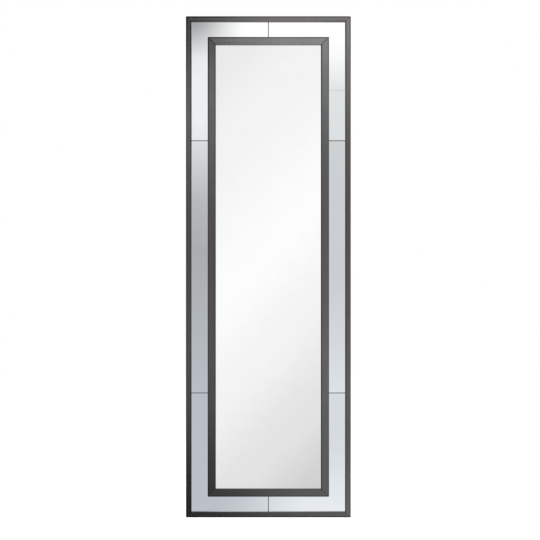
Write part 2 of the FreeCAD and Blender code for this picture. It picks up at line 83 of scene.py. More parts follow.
class Graph:
    """A node tree. What goes into an input is a socket, a number or a colour."""

    def __init__(self, tree):
        self.tree = tree
        tree.nodes.clear()

    def node(self, kind, inputs=None, **settings):
        made = self.tree.nodes.new(kind)
        for name, value in settings.items():
            setattr(made, name, value)
        for name, value in (inputs or {}).items():
            self.put(made.inputs[name], value)
        return made

    def put(self, socket, value):
        if isinstance(value, bpy.types.NodeSocket):
            self.tree.links.new(value, socket)
        elif socket.type == "RGBA":
            socket.default_value = (*value, 1.0)
        else:
            socket.default_value = value

    def math(self, operation, first, second=0.0):
        return self.node("ShaderNodeMath", {0: first, 1: second}, operation=operation).outputs[0]

    def add(self, first, second):
        return self.math("ADD", first, second)

    def subtract(self, first, second):
        return self.math("SUBTRACT", first, second)

    def multiply(self, first, second):
        return self.math("MULTIPLY", first, second)

    def smaller(self, first, second):
        return self.math("MINIMUM", first, second)

    def larger(self, first, second):
        return self.math("MAXIMUM", first, second)

    def absolute(self, value):
        return self.math("ABSOLUTE", value)

    def apart(self, first, second):
        """How far two numbers are from each other."""
        return self.absolute(self.subtract(first, second))

    def total(self, values, shares):
        """The sum of values, each times its share."""
        result = 0.0
        for value, share in zip(values, shares):
            result = self.add(result, self.multiply(value, share))
        return result

    def scaled(self, vector, factors):
        """A vector with each of its parts multiplied by a factor."""
        made = self.node("ShaderNodeVectorMath", {0: vector, 1: factors}, operation="MULTIPLY")
        return made.outputs["Vector"]

    def laid(self, vector, degrees, factors):
        """A vector turned about the Y axis, then stretched."""
        made = self.node("ShaderNodeVectorRotate", {
            "Vector": vector, "Angle": math.radians(degrees)}, rotation_type="Y_AXIS")
        return self.scaled(made.outputs["Vector"], factors)

    def noise(self, vector, scale, detail, roughness=0.55, distortion=0.0):
        made = self.node("ShaderNodeTexNoise", {
            "Vector": vector, "Scale": scale, "Detail": detail,
            "Roughness": roughness, "Distortion": distortion})
        return made.outputs["Fac"]

    def spread(self, value, start, end):
        """A straight change from 0 to 1 as a value goes from start to end."""
        made = self.node("ShaderNodeMapRange", {"Value": value, "From Min": start, "From Max": end})
        return made.outputs["Result"]

    def step(self, value, start, end, low=0.0, high=1.0):
        """A smooth change from low to high as a value goes from start to end."""
        made = self.node("ShaderNodeMapRange", {
            "Value": value, "From Min": start, "From Max": end, "To Min": low, "To Max": high},
            interpolation_type="SMOOTHSTEP")
        return made.outputs["Result"]

    def fade(self, value, start, end, high=1.0):
        """A smooth change from high to nothing as a value goes from start to end."""
        return self.step(value, start, end, high, 0.0)

    def mix(self, factor, first, second):
        """Two colours mixed."""
        made = self.node("ShaderNodeMix", {0: factor, 6: first, 7: second}, data_type="RGBA")
        return made.outputs[2]

    def mix_numbers(self, factor, first, second):
        return self.node("ShaderNodeMix", {0: factor, 2: first, 3: second}).outputs[0]

    def ramp(self, factor, stops, between="EASE"):
        """A colour ramp: stops are places from 0 to 1 with their colours."""
        made = self.node("ShaderNodeValToRGB", {"Fac": factor})
        made.color_ramp.interpolation = between
        elements = made.color_ramp.elements
        while len(elements) < len(stops):
            elements.new(0.5)
        for element, (place, colour) in zip(elements, stops):
            element.position = place
            element.color = (*colour, 1.0)
        return made.outputs["Color"]

    def bump(self, height, distance):
        made = self.node("ShaderNodeBump", {"Strength": 1.0, "Distance": distance, "Height": height})
        return made.outputs["Normal"]

    def surface(self, shader):
        """Ends the tree in a shader."""
        output = self.node("ShaderNodeOutputMaterial")
        self.put(output.inputs["Surface"], shader.outputs[0])


def new_material(name):
    """A material whose tree holds what colours are worked out from: place, x, y, z and normal_y."""
    material = bpy.data.materials.new(name)
    material.use_nodes = True
    graph = Graph(material.node_tree)
    coordinates = graph.node("ShaderNodeTexCoord")
    graph.place = coordinates.outputs["Object"]
    parts = graph.node("ShaderNodeSeparateXYZ", {"Vector": graph.place})
    graph.x, graph.y, graph.z = parts.outputs
    normal = graph.node("ShaderNodeSeparateXYZ", {"Vector": coordinates.outputs["Normal"]})
    graph.normal_y = normal.outputs["Y"]
    return material, graph


def finish_material(graph, **inputs):
    """Ends a tree in the Principled shader, whose inputs are named in words with underscores."""
    graph.surface(graph.node("ShaderNodeBsdfPrincipled", {
        name.replace("_", " "): value for name, value in inputs.items()}))


def dress(piece, material):
    piece.data.materials.clear()
    piece.data.materials.append(material)


# Below, a noise is its scale and detail, then its roughness and distortion. A range is where a step starts
# and ends, then its values there. A fade is the same, with only the value it starts at.

# Mouldings: satin pewter paint rubbed lengthwise, painted shade at the edges and tips, over bare wood behind

PEWTER_DARK = (0.090, 0.085, 0.083)
PEWTER_LIGHT = (0.122, 0.116, 0.114)
# Painted shade at the edges, tips and corners, and the dark line of the joints with painted shadow in it
PEWTER_SHADE_AND_JOINT = (0.010, 0.009, 0.009)

# How much lighter the paint of each moulding is, in red, green and blue
TONES = {"outer": (1.0, 1.0, 1.0), "inner": (1.11, 1.15, 1.18)}

# Marks of rubbing, drawn out along each length, and slow clouds; then the share of each in the tone
GRAIN_SQUEEZE = 0.006
HAIR_NOISE = (1500.0, 2.0)
LINE_NOISE = (420.0, 3.0, 0.6)
BAND_NOISE = (90.0, 3.0)
CLOUD_NOISE = (11.0, 4.0)
RUBBING_SHARES = (0.42, 0.30, 0.12, 0.16)
RUBBED_RANGE = (0.28, 0.72)

# The roughness where the paint is least and most rubbed, and what the edges' painted shade and bare wood add
# to it
PAINT_ROUGHNESS = (0.22, 0.16)
EDGE_SHADE_DULLNESS = 0.12
WOOD_DULLNESS = 0.40

# How metallic the paint is, and how bare a point is where that has faded away
PAINT_METALLIC = 0.90
METALLIC_END = 0.6
PAINT_SPECULAR = 0.35

# The relief of the paint: the shares of lines and hair in it, and its height
RELIEF_SHARES = (0.6, 0.4)
PAINT_RELIEF = 0.012 * MM

# Bare wood: its figure, its pores and its joints, which are open a hair
BARE_WOOD = (0.44, 0.30, 0.18)
BARE_WOOD_DARK = (0.32, 0.205, 0.115)
BARE_WOOD_PORES = (0.12, 0.065, 0.035)
FIGURE_STRETCH = (5.0, 5.0, 5.0)
FIGURE_NOISE = (48.0, 4.0, 0.6, 0.6)
FIGURE_RANGE = (0.3, 0.7)
PORE_SQUEEZE = 0.05
PORE_NOISE = (1900.0, 2.0)
PORE_RANGE = (0.58, 0.70, 0.0, 0.5)
OPEN_JOINT_FADE = (0.15 * MM, 0.5 * MM, 0.85)

# How far back a point faces where the paint gives way to wood
MOULDING_BEHIND = (0.55, 0.85)

# Specks of paint on the wood, thick within a reach of the edges
SPRAY_NOISE = (900.0, 4.0, 0.75)
SPRAY_FADE = (0.0, 6.0 * MM, 0.40)
UNPAINTED_FADE = (0.60, 0.70)

# Fades of the painted shade and the dark joint line: in from the front edges, where the way down a side
# counts this many times, and out from the joint's line, from the tip and over the whole corner
EDGE_SHADE = (3.0 * MM, 6.0 * MM)
SIDE_SHADE_STRETCH = 2.0
JOINT_LINE = (0.5 * MM, 2.2 * MM)
TIP_SHADE = (5.5 * MM, 12.0 * MM)
CORNER_SHADE = (0.0, 0.35)

# Where along a length, from its middle, the joint line and painted shade of its low end give way to those of
# its high end
END_SHADE_CHANGE = (-0.1, 0.1)

# Near a shaded corner: how much further in the painted shade of the outward edge reaches, and the inward
# edge's share
EDGE_SHADE_GROWTH = {"outer": 1.3 * MM, "inner": 0.0}
INWARD_EDGE_SHARE = {"outer": 0.75, "inner": 0.2}

# How much painted shade lies along the low and the high edge of each length, across its face
EDGE_PAINTED_SHADE = {
    "outer_stile_left": (0.35, 0.35), "outer_stile_right": (0.60, 0.25),
    "outer_rail_bottom": (0.70, 0.12), "outer_rail_top": (0.15, 0.42),
    "inner_stile_left": (0.45, 0.34), "inner_stile_right": (0.80, 0.20),
    "inner_rail_bottom": (0.30, 0.12), "inner_rail_top": (0.00, 0.28),
}

# How dark each corner is: its joint's line with painted shadow, painted shade at the tip and the edges near
# it, and over the face
CORNER_JOINT_AND_SHADE = {
    "outer": {
        "top_left": (0.15, 1.0, 0.0), "top_right": (0.20, 0.3, 0.10),
        "bottom_left": (0.10, 0.9, 0.20), "bottom_right": (0.10, 0.2, 0.0),
    },
    "inner": {
        "top_left": (1.00, 0.9, 0.0), "top_right": (0.60, 0.3, 0.0),
        "bottom_left": (0.15, 0.9, 0.0), "bottom_right": (0.35, 0.2, 0.14),
    },
}

# The corners at the low and the high end of each length
ENDS = {
    "stile_left": ("bottom_left", "top_left"), "stile_right": ("bottom_right", "top_right"),
    "rail_bottom": ("bottom_left", "bottom_right"), "rail_top": ("top_left", "top_right"),
}


def bare_wood(graph, grain, squeeze, from_joint):
    """The colour of the wood behind, from its grain and how far a point is from the joint."""
    figure = graph.noise(graph.scaled(grain, FIGURE_STRETCH), *FIGURE_NOISE)
    pore_squeeze = tuple(max(part, PORE_SQUEEZE) for part in squeeze)
    pores = graph.noise(graph.scaled(graph.place, pore_squeeze), *PORE_NOISE)
    wood = graph.mix(graph.step(figure, *FIGURE_RANGE), BARE_WOOD_DARK, BARE_WOOD)
    wood = graph.mix(graph.step(pores, *PORE_RANGE), wood, BARE_WOOD_PORES)
    return graph.mix(graph.fade(from_joint, *OPEN_JOINT_FADE), wood, BARE_WOOD_PORES)


def moulding_material(name, corner, tone, ends):
    """The finish of one length, from the corner where its joints start and the joint line and painted shade
    at its two ends.
    """
    material, graph = new_material(name)
    part = name.split("_")[0]
    low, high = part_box(name)
    if "_stile_" in name:
        cross, along, edges = graph.x, graph.z, (low.x, high.x)
        squeeze = (1.0, 1.0, GRAIN_SQUEEZE)
    else:
        cross, along, edges = graph.z, graph.x, (low.z, high.z)
        squeeze = (GRAIN_SQUEEZE, 1.0, 1.0)
    grain = graph.scaled(graph.place, squeeze)
    # How dark the joint line is, and how much painted shade lies at the tip and over the face, from the low
    # end to the high
    joint_darkness, tip_painted_shade, face_painted_shade = (graph.step(along, *END_SHADE_CHANGE, *both) for both in zip(*ends))

    # The joint's line with painted shadow, and painted shade at the tip, from how far a point is inside the
    # corner's two sides
    side_x = graph.subtract(corner.x, graph.absolute(graph.x))
    side_z = graph.subtract(corner.z, graph.absolute(graph.z))
    from_joint = graph.apart(side_x, side_z)
    from_tip = graph.add(side_x, side_z)
    joint = graph.multiply(graph.fade(from_joint, *JOINT_LINE), joint_darkness)
    tip = graph.multiply(graph.fade(from_tip, *TIP_SHADE), tip_painted_shade)
    joint = graph.larger(joint, tip)
    # How near the corner a point is, for painted shade there, and that times the tip's painted shade
    near_corner = graph.fade(from_tip, *CORNER_SHADE)
    near_tip = graph.multiply(near_corner, tip_painted_shade)

    # Painted shade along the front edges, going over the face and down the sides, darker towards a shaded
    # corner
    down_side = graph.multiply(graph.subtract(graph.y, low.y), SIDE_SHADE_STRETCH)
    over_face, edge = 1.0, 0.0
    for line, shade in zip(edges, EDGE_PAINTED_SHADE[name]):
        from_line = graph.apart(cross, line)
        over_face = graph.smaller(over_face, from_line)
        from_edge = graph.larger(from_line, down_side)
        share = INWARD_EDGE_SHARE[part]
        if abs(line) == max(abs(other) for other in edges):
            from_edge = graph.subtract(from_edge, graph.multiply(near_tip, EDGE_SHADE_GROWTH[part]))
            share = 1.0
        darkness = graph.add(graph.multiply(near_tip, (1.0 - shade) * share), shade)
        band = graph.fade(from_edge, *EDGE_SHADE)
        edge = graph.larger(edge, graph.multiply(band, darkness))

    # The rubbed paint, with painted shade near the corners, along the edges and at the tips, and the dark
    # joint line
    hair = graph.noise(grain, *HAIR_NOISE)
    lines = graph.noise(grain, *LINE_NOISE)
    bands = graph.noise(grain, *BAND_NOISE)
    clouds = graph.noise(graph.place, *CLOUD_NOISE)
    rubbed = graph.step(graph.total((hair, lines, bands, clouds), RUBBING_SHARES), *RUBBED_RANGE)
    dark, light, shade_and_joint = (tuple(level * factor for level, factor in zip(colour, tone))
                          for colour in (PEWTER_DARK, PEWTER_LIGHT, PEWTER_SHADE_AND_JOINT))
    paint = graph.mix(rubbed, dark, light)
    # Painted shade over the face near a corner, then along the edges, at the tips and in the joint's line
    paint = graph.mix(graph.multiply(near_corner, face_painted_shade), paint, shade_and_joint)
    paint = graph.mix(graph.larger(edge, joint), paint, shade_and_joint)

    # The wood behind, where no paint fell
    specks = graph.add(graph.noise(graph.place, *SPRAY_NOISE), graph.fade(over_face, *SPRAY_FADE))
    behind = graph.step(graph.normal_y, *MOULDING_BEHIND)
    bare = graph.multiply(behind, graph.fade(specks, *UNPAINTED_FADE))
    colour = graph.mix(bare, paint, bare_wood(graph, grain, squeeze, from_joint))

    gloss = graph.step(rubbed, 0.0, 1.0, *PAINT_ROUGHNESS)
    roughness = graph.add(gloss, graph.multiply(edge, EDGE_SHADE_DULLNESS))
    roughness = graph.add(roughness, graph.multiply(bare, WOOD_DULLNESS))
    metallic = graph.fade(bare, 0.0, METALLIC_END, PAINT_METALLIC)
    relief = graph.subtract(graph.total((lines, hair), RELIEF_SHARES), joint)
    finish_material(graph, Base_Color=colour, Roughness=roughness, Metallic=metallic,
                    Specular_IOR_Level=PAINT_SPECULAR, Normal=graph.bump(relief, PAINT_RELIEF))
    return material


def dress_mouldings():
    """Gives each length its own finish, so that its marks run along it and stop at its joints."""
    for part, tone in TONES.items():
        corner_darkness = CORNER_JOINT_AND_SHADE[part]
        corner = Vector((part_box(part + "_stile_right")[1].x, 0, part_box(part + "_rail_top")[1].z))
        for length, (low_corner, high_corner) in ENDS.items():
            name = "%s_%s" % (part, length)
            material = moulding_material(name, corner, tone, (corner_darkness[low_corner], corner_darkness[high_corner]))
            dress(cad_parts[name], material)


# Mirror glass: silver seen through clear glass, with ground edges and grey paint behind

SILVER = (0.906, 0.911, 0.911)
SILVER_HAZED = (0.892, 0.897, 0.897)
HAZE_NOISE = (30.0, 5.0, 0.65)
HAZE_RANGE = (0.35, 0.75)
GROUND_EDGE = (0.085, 0.115, 0.105)
GROUND_EDGE_PALE = (0.136, 0.184, 0.168)
GRINDING_NOISE = (900.0, 3.0)
GROUND_ROUGHNESS = (0.3, 0.7, 0.38, 0.55)
BACK_PAINT = (0.16, 0.17, 0.18)

# So smooth that the renderer counts it as a perfect mirror, which the stage's Is Singular Ray goes by
POLISH = 0.003

# Slow waves in the glass, and which way a point has to face to be its front or its back
WAVE_NOISE = (2.6, 1.0)
WAVE_HEIGHT = 0.10 * MM
GLASS_FRONT = (-0.995, -0.97)
GLASS_BEHIND = (0.90, 0.99)

# The slopes at which each glass lies, across and upwards, so that a reflection breaks at the seams
GLASS_LIE = {
    "main_mirror": (0.0, 0.0),
    "border_mirror_left": (0.0, 0.004),
    "border_mirror_right": (0.0, 0.004),
    "border_mirror_top_left": (0.0, 0.0),
    "border_mirror_top_right": (0.0, 0.0),
    "border_mirror_bottom_left": (0.0, 0.008),
    "border_mirror_bottom_right": (-0.004, 0.008),
}


def glass_material(name, slope_x, slope_z):
    """Mirror glass that lies at a slope across and upwards."""
    material, graph = new_material(name)
    waves = graph.noise(graph.place, *WAVE_NOISE)
    front = graph.fade(graph.normal_y, *GLASS_FRONT)
    behind = graph.step(graph.normal_y, *GLASS_BEHIND)
    grinding = graph.noise(graph.place, *GRINDING_NOISE)
    ground = graph.mix(grinding, GROUND_EDGE, GROUND_EDGE_PALE)
    haze = graph.noise(graph.place, *HAZE_NOISE)
    silver = graph.mix(graph.step(haze, *HAZE_RANGE), SILVER, SILVER_HAZED)
    colour = graph.mix(front, ground, silver)
    colour = graph.mix(behind, colour, BACK_PAINT)
    roughness = graph.mix_numbers(front, graph.step(grinding, *GROUND_ROUGHNESS), POLISH)

    # The lie is already in metres, so the bump takes it as it is
    lie = graph.total((graph.x, graph.z, waves), (slope_x, slope_z, WAVE_HEIGHT))
    finish_material(graph, Base_Color=colour, Roughness=roughness, Metallic=front,
                    Normal=graph.bump(lie, 1.0))
    return material


def dress_glass():
    for name, slopes in GLASS_LIE.items():
        dress(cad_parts[name], glass_material(name, *slopes))


# Hardboard: pressed fibres in every direction, darker specks and a few scuffs

# The directions in which the fibres lie, in degrees, and how fine they are; the rest is the same for all
FIBRES = ((17, 1150.0), (71, 900.0), (118, 1250.0), (158, 820.0))
FIBRE_STRETCH = (1.0, 1.0, 0.22)
FIBRE_DETAIL = (3.0, 0.6, 0.8)

# The shares of slow clouds and of each direction's fibres in the tone
BOARD_SHARES = (0.28, 0.18, 0.18, 0.18, 0.18)
BOARD_CLOUD_NOISE = (7.0, 5.0, 0.6)
BOARD_COLOURS = [(0.36, (0.20, 0.115, 0.062)), (0.50, (0.34, 0.21, 0.12)), (0.64, (0.46, 0.31, 0.19))]
BOARD_ROUGHNESS = (0.3, 0.7, 0.62, 0.82)
BOARD_RELIEF = 0.25 * MM

SPECK_COLOUR = (0.09, 0.05, 0.03)
SPECK_NOISE = (900.0, 2.0)
SPECK_RANGE = (0.66, 0.74, 0.0, 0.6)

SCUFF_COLOUR = (0.58, 0.46, 0.33)
SCUFF_DIRECTION = 12
SCUFF_STRETCH = (1.0, 1.0, 0.08)
SCUFF_NOISE = (40.0, 6.0, 0.7, 0.8)
SCUFF_RANGE = (0.62, 0.74, 0.0, 0.25)


def board_material():
    material, graph = new_material("fibreboard")
    layers = [graph.noise(graph.place, *BOARD_CLOUD_NOISE)]
    for degrees, scale in FIBRES:
        layers.append(graph.noise(graph.laid(graph.place, degrees, FIBRE_STRETCH), scale, *FIBRE_DETAIL))
    tone = graph.total(layers, BOARD_SHARES)
    specks = graph.noise(graph.place, *SPECK_NOISE)
    scuffs = graph.noise(graph.laid(graph.place, SCUFF_DIRECTION, SCUFF_STRETCH), *SCUFF_NOISE)
    colour = graph.ramp(tone, BOARD_COLOURS)
    colour = graph.mix(graph.step(specks, *SPECK_RANGE), colour, SPECK_COLOUR)
    colour = graph.mix(graph.step(scuffs, *SCUFF_RANGE), colour, SCUFF_COLOUR)
    roughness = graph.step(tone, *BOARD_ROUGHNESS)
    finish_material(graph, Base_Color=colour, Roughness=roughness, Normal=graph.bump(tone, BOARD_RELIEF))
    return material


# Plated and drawn metals: marks at a scale, stretched, over a slow change of tone

# Dark and light tone, the roughness where dark and where light, the scale of the marks, and their stretch
METALS = {
    "spring_steel": ((0.24, 0.24, 0.25), (0.38, 0.38, 0.39), (0.46, 0.28), 1200.0, (1.0, 1.0, 1.0)),
    "zinc_plate": ((0.37, 0.375, 0.38), (0.48, 0.485, 0.49), (0.40, 0.24), 1400.0, (1.0, 1.0, 1.0)),
    "drawn_wire": ((0.36, 0.36, 0.37), (0.54, 0.54, 0.55), (0.32, 0.18), 1800.0, (0.2, 1.0, 1.0)),
}
MARK_DETAIL = (4.0, 0.65)

# The slow change: its scale by that of the marks, and its detail; then the shares of both in the tone
SLOW_SCALE = 0.12
SLOW_DETAIL = 3.0
METAL_SHARES = (0.55, 0.45)
METAL_RANGE = (0.30, 0.70)
METAL_RELIEF = 0.02 * MM


def metal_material(name):
    dark, light, roughnesses, scale, stretch = METALS[name]
    material, graph = new_material(name)
    marks = graph.noise(graph.scaled(graph.place, stretch), scale, *MARK_DETAIL)
    slow = graph.noise(graph.place, scale * SLOW_SCALE, SLOW_DETAIL)
    tone = graph.step(graph.total((marks, slow), METAL_SHARES), *METAL_RANGE)
    roughness = graph.step(tone, 0.0, 1.0, *roughnesses)
    finish_material(graph, Base_Color=graph.mix(tone, dark, light), Roughness=roughness, Metallic=1.0,
                    Normal=graph.bump(marks, METAL_RELIEF))
    return material


# Moulded rubber with a dusty bloom

BLOOM_NOISE = (320.0, 5.0, 0.7)
RUBBER_COLOURS = [(0.3, (0.018, 0.018, 0.019)), (0.75, (0.065, 0.064, 0.062))]
RUBBER_ROUGHNESS = (0.3, 0.7, 0.50, 0.80)
RUBBER_NOISE = (2600.0, 2.0)
RUBBER_RELIEF = 0.04 * MM


def rubber_material():
    material, graph = new_material("bumper_rubber")
    bloom = graph.noise(graph.place, *BLOOM_NOISE)
    grain = graph.noise(graph.place, *RUBBER_NOISE)
    colour = graph.ramp(bloom, RUBBER_COLOURS)
    roughness = graph.step(bloom, *RUBBER_ROUGHNESS)
    finish_material(graph, Base_Color=colour, Roughness=roughness, Normal=graph.bump(grain, RUBBER_RELIEF))
    return material


# Turned pieces: a profile of radii and heights, spun round an axis

SPIN_STEPS = 48
ARC_STEPS = 8


def turned(name, profile, place, outwards):
    """Spins a profile about a line through a place; heights run outwards."""
    mesh = bpy.data.meshes.new(name)
    form = bmesh.new()
    rings = []
    for radius, height in profile:
        if radius == 0:
            rings.append([form.verts.new((0, 0, height))])
            continue
        ring = []
        for step in range(SPIN_STEPS):
            angle = 2 * math.pi * step / SPIN_STEPS
            ring.append(form.verts.new((radius * math.cos(angle), radius * math.sin(angle), height)))
        rings.append(ring)
    for first, second in zip(rings, rings[1:]):
        for step in range(SPIN_STEPS):
            following = (step + 1) % SPIN_STEPS
            corners = [first[step % len(first)], first[following % len(first)],
                       second[following % len(second)], second[step % len(second)]]
            form.faces.new(list(dict.fromkeys(corners)))
    bmesh.ops.recalc_face_normals(form, faces=form.faces)
    turn = UP.rotation_difference(outwards).to_matrix().to_4x4()
    form.transform(Matrix.Translation(place) @ turn)
    for face in form.faces:
        face.smooth = True
    form.to_mesh(mesh)
    form.free()
    piece = bpy.data.objects.new(name, mesh)
    bpy.context.scene.collection.objects.link(piece)
    return piece


def arc(centre_radius, centre_height, radius, start, end):
    """Points of a profile along an arc, its angles in degrees from the radius direction."""
    points = []
    for step in range(ARC_STEPS + 1):
        angle = math.radians(start + (end - start) * step / ARC_STEPS)
        points.append((centre_radius + radius * math.cos(angle), centre_height + radius * math.sin(angle)))
    return points


# Stage: light cards in front of the mirror that only reflections show

def grey(level, tint=WHITE):
    return tuple(level * part for part in tint)


# Tints of the light in the room that the border mirrors show
FAINT = (0.975, 1.0, 1.02)
MILD = (0.965, 1.0, 1.05)
COOL = (0.935, 1.0, 1.075)
WARM = (1.09, 1.0, 0.97)
TAN = (1.08, 0.95, 0.89)

# The light of the room and of what is beyond it, on the left and on the right, at heights in metres from the
# level of the camera
ROOM_LEFT = [
    (-2.00, grey(0.590, COOL)), (-0.98, grey(0.572, COOL)), (0.08, grey(0.464, FAINT)),
    (0.45, grey(0.545, FAINT)), (0.89, grey(0.815, FAINT)), (0.934, grey(0.895, FAINT)),
    (1.09, grey(0.965, FAINT)), (1.40, grey(0.970, FAINT)), (1.56, grey(0.900, FAINT)),
    (1.80, grey(0.415, FAINT)),
]
ROOM_RIGHT = [
    (-1.95, grey(0.940, MILD)), (-1.45, grey(0.790, MILD)), (-1.022, grey(0.775, MILD)),
    (-0.978, grey(0.830, MILD)), (-0.10, grey(0.675, MILD)), (0.89, grey(0.700, FAINT)),
    (0.934, grey(0.820, FAINT)), (1.31, grey(0.850, FAINT)), (1.58, grey(1.060)), (1.72, grey(1.12)),
]
BEYOND_LEFT = [
    (-2.4, grey(0.0)), (-1.60, grey(0.0)), (-1.32, grey(0.24)), (-1.00, grey(0.76)),
    (-0.30, grey(0.68, TAN)), (0.10, grey(0.52, TAN)), (0.45, grey(0.44, TAN)), (0.88, grey(0.95)),
    (1.25, grey(1.55)), (1.60, grey(1.20)), (1.80, grey(0.02)),
]
BEYOND_RIGHT = [
    (-2.4, grey(1.00)), (-1.88, grey(1.95)), (-1.62, grey(0.85)), (-1.38, grey(0.66)),
    (-0.98, grey(1.34)), (-0.30, grey(0.85, WARM)), (0.30, grey(0.70, WARM)), (0.86, grey(0.63)),
    (1.20, grey(1.30)), (1.50, grey(1.58)), (1.90, grey(2.95)), (2.15, grey(3.85)), (2.60, grey(1.60)),
]

# The light far off, on both sides, by height, and dim clouds over it
FAR = [
    (-6.0, grey(1.02)), (-3.3, grey(0.98)), (-1.9, grey(0.84)), (-0.6, grey(0.70)), (0.7, grey(0.80)),
    (2.5, grey(0.95)), (6.0, grey(1.0)),
]
FAR_STRETCH = (0.35, 1.0, 0.12)
FAR_NOISE = (1.0, 2.0)
FAR_RANGE = (0.35, 0.65, 0.0, 0.16)
FAR_CLOUD = grey(0.35)

# Where the left light ends and where the right one starts: how far across at the camera's level, and how
# much further left for each metre up from there
ROOM_DIVIDE = ((-0.515, 0.037), (0.14, 0.149))
BEYOND_DIVIDE = ((-0.45, 0.044), (0.12, 0.10))

# A faint line across the room on the right: its height, and how its darkness fades above and below
ROOM_LINE_HEIGHT = 1.3126
ROOM_LINE_FADE = (0.0, 9.0 * MM, 0.13)

# The light of the sheet, from its upper left to its lower right, and how far across and down that reaches
SHEET = [
    (0.00, grey(0.90)), (0.19, grey(0.99)), (0.48, grey(1.075)), (0.65, grey(0.99)), (0.84, grey(0.85)),
    (1.00, grey(0.70)),
]
SHEET_REACH = (-2.0, 2.0)

# How far the fading rim of the sheet keeps from what the moulding's faces leave in view
RIM_MARGIN = 8.0 * MM

# How far each card stands behind the camera
SHEET_BACK = 0.02
ROOM_BACK = 0.06
BEYOND_BACK = 0.12

# The width and height of the farthest card, and what the room's card has over what shows in the mirror
BEYOND_SIZE = (34.0, 18.0)
ROOM_EXTRA = (0.14, 0.36)

# Where the farthest card goes over to the light far off, across and up or down from its middle: in what the
# mouldings gather, and in what glass shows
GATHERED_REACH = ((1.75, 2.6), (2.9, 3.8))
SHOWN_REACH = ((0.66, 1.7), (2.0, 3.4))


def flat_card(name, middle, size_x, size_z):
    """An upright card that faces the mirror; its own X and Z are measured from its middle."""
    mesh = bpy.data.meshes.new(name)
    half_x, half_z = size_x / 2, size_z / 2
    corners = [(-half_x, 0, -half_z), (half_x, 0, -half_z), (half_x, 0, half_z), (-half_x, 0, half_z)]
    mesh.from_pydata(corners, [], [(0, 1, 2, 3)])
    card = bpy.data.objects.new(name, mesh)
    card.location = middle
    bpy.context.scene.collection.objects.link(card)
    card.visible_camera = False
    card.visible_diffuse = False
    card.visible_shadow = False
    card.visible_transmission = False
    return card


def glow(graph, colour):
    graph.surface(graph.node("ShaderNodeEmission", {"Color": colour, "Strength": 1.0}))


def ramp_by_height(graph, stops):
    """A colour ramp over height: stops are heights and colours, from low to high."""
    lowest, highest = stops[0][0], stops[-1][0]
    places = [((level - lowest) / (highest - lowest), colour) for level, colour in stops]
    return graph.ramp(graph.spread(graph.z, lowest, highest), places, "LINEAR")


def left_to_right(graph, left, right, divide):
    """Goes from one colour to the other across a slanting divide."""
    start, end = (graph.subtract(place, graph.multiply(graph.z, slant)) for place, slant in divide)
    return graph.mix(graph.step(graph.x, start, end), left, right)


def room_light(graph):
    """The room's light on the left and on the right, by height, and a faint line on the right."""
    left, right = ramp_by_height(graph, ROOM_LEFT), ramp_by_height(graph, ROOM_RIGHT)
    line = graph.fade(graph.apart(graph.z, ROOM_LINE_HEIGHT), *ROOM_LINE_FADE)
    right = graph.mix(line, right, grey(0.0))
    return left_to_right(graph, left, right, ROOM_DIVIDE)


def outside(graph, reach_x, reach_z):
    """From 0 to 1 between two distances from a card's middle, across or up and down."""
    out_x = graph.step(graph.absolute(graph.x), *reach_x)
    out_z = graph.step(graph.absolute(graph.z), *reach_z)
    return graph.larger(out_x, out_z)


def build_sheet(middle):
    """A soft white sheet ahead, which fills the main mirror.

    Seen from the camera, a card beside it shows in the mirror at half its size. So the sheet's rim fades
    into the room behind the faces of the inner moulding.
    """
    stile_low, stile_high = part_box("inner_stile_right")
    rail_low, rail_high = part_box("inner_rail_top")
    rim_x = (2 * stile_low.x + RIM_MARGIN, 2 * stile_high.x - RIM_MARGIN)
    rim_z = (2 * rail_low.z + RIM_MARGIN, 2 * rail_high.z - RIM_MARGIN)
    sheet = flat_card("white_sheet", middle + FORWARDS * SHEET_BACK, rim_x[1] * 2, rim_z[1] * 2)
    material, graph = new_material("white_sheet")
    place = graph.spread(graph.subtract(graph.x, graph.z), *SHEET_REACH)
    glow(graph, graph.mix(outside(graph, rim_x, rim_z), graph.ramp(place, SHEET), room_light(graph)))
    dress(sheet, material)


def build_room(middle):
    """The room round the sheet, which the border mirrors show."""
    size_x = 4 * half_width + ROOM_EXTRA[0]
    size_z = 4 * half_height + ROOM_EXTRA[1]
    room = flat_card("room", middle + FORWARDS * ROOM_BACK, size_x, size_z)
    material, graph = new_material("room")
    glow(graph, room_light(graph))
    dress(room, material)


def build_beyond(middle):
    """What lies beyond the room, which the sloping faces of the mouldings gather.

    In glass, which shows it sharp from the side, the room goes on there instead. Far off is a pale hall.
    """
    beyond = flat_card("beyond", middle + FORWARDS * BEYOND_BACK, *BEYOND_SIZE)
    material, graph = new_material("beyond")
    left, right = ramp_by_height(graph, BEYOND_LEFT), ramp_by_height(graph, BEYOND_RIGHT)
    near = left_to_right(graph, left, right, BEYOND_DIVIDE)
    clouds = graph.noise(graph.scaled(graph.place, FAR_STRETCH), *FAR_NOISE)
    far = graph.mix(graph.step(clouds, *FAR_RANGE), ramp_by_height(graph, FAR), FAR_CLOUD)
    gathered = graph.mix(outside(graph, *GATHERED_REACH), near, far)
    shown = graph.mix(outside(graph, *SHOWN_REACH), room_light(graph), far)
    sharp = graph.node("ShaderNodeLightPath").outputs["Is Singular Ray"]
    glow(graph, graph.mix(sharp, gathered, shown))
    dress(beyond, material)


def build_cards():
    """The studio that the mirror shows, behind the camera."""
    middle = Vector((-camera_x, camera_y, -camera_z))
    build_sheet(middle)
    build_room(middle)
    build_beyond(middle)


# Stage: a pale floor, a white world and lamps

FLOOR_NEAR_EDGE = -0.9
FLOOR_DEPTH = 13.0
FLOOR_WIDTH = 26.0
FLOOR_DROP = 0.35
FLOOR_COLOUR = grey(0.82)
FLOOR_GLOW = 0.65

